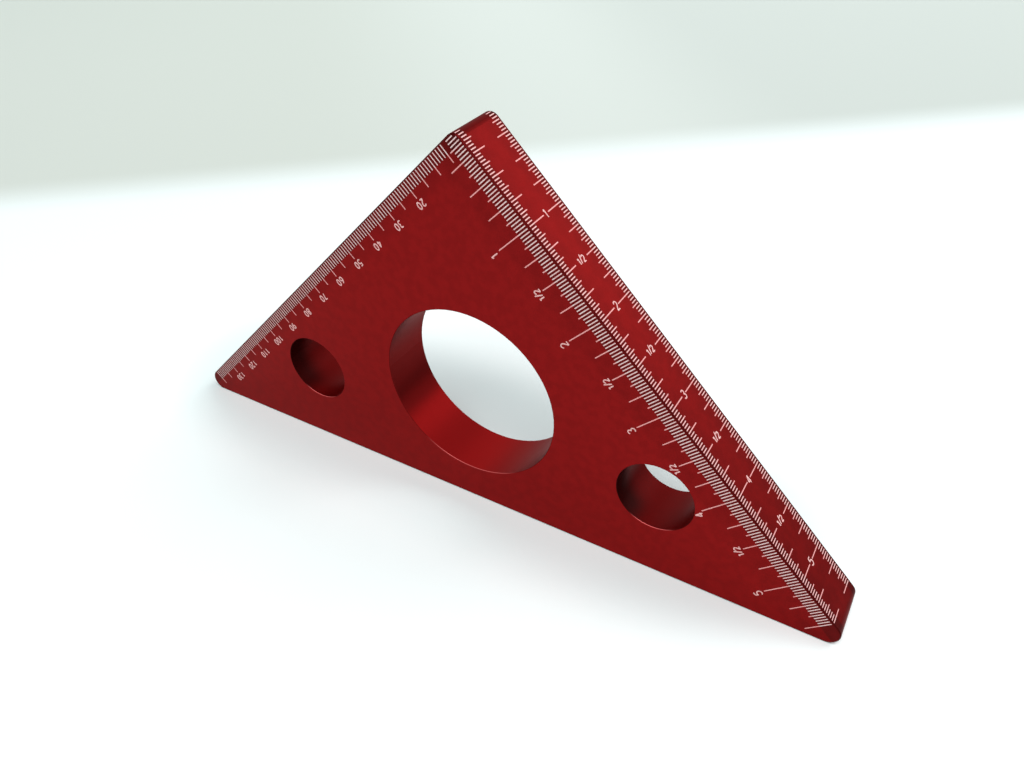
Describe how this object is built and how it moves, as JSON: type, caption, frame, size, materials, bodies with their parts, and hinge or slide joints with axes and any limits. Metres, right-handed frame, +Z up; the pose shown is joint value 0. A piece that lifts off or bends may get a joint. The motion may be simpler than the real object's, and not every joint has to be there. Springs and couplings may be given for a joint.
{
  "type": "set square",
  "caption": "Thick triangular set square block with equal legs, three through bores and engraved inch and millimetre scales along its legs, for marking and clamping at right angles.",
  "frame": {"origin": "middle of the long edge's face, which is what the square stands on", "axes": "+X along the long edge towards the leg with the inch scales, +Y through the thickness from the front face to the back face, +Z up to the right-angled corner"},
  "size_m": [0.2026, 0.0152, 0.105],
  "materials": {
    "red_anodised": "bead-blasted and red anodised, satin",
    "white_fill": "matt white filling of engraved strokes"
  },
  "bodies": {
    "root": {"block": "red_anodised", "face_inch_scale": "white_fill", "face_metric_scale": "white_fill", "edge_inch_scale_front": "white_fill", "edge_inch_scale_back": "white_fill"}
  },
  "joints": []
}
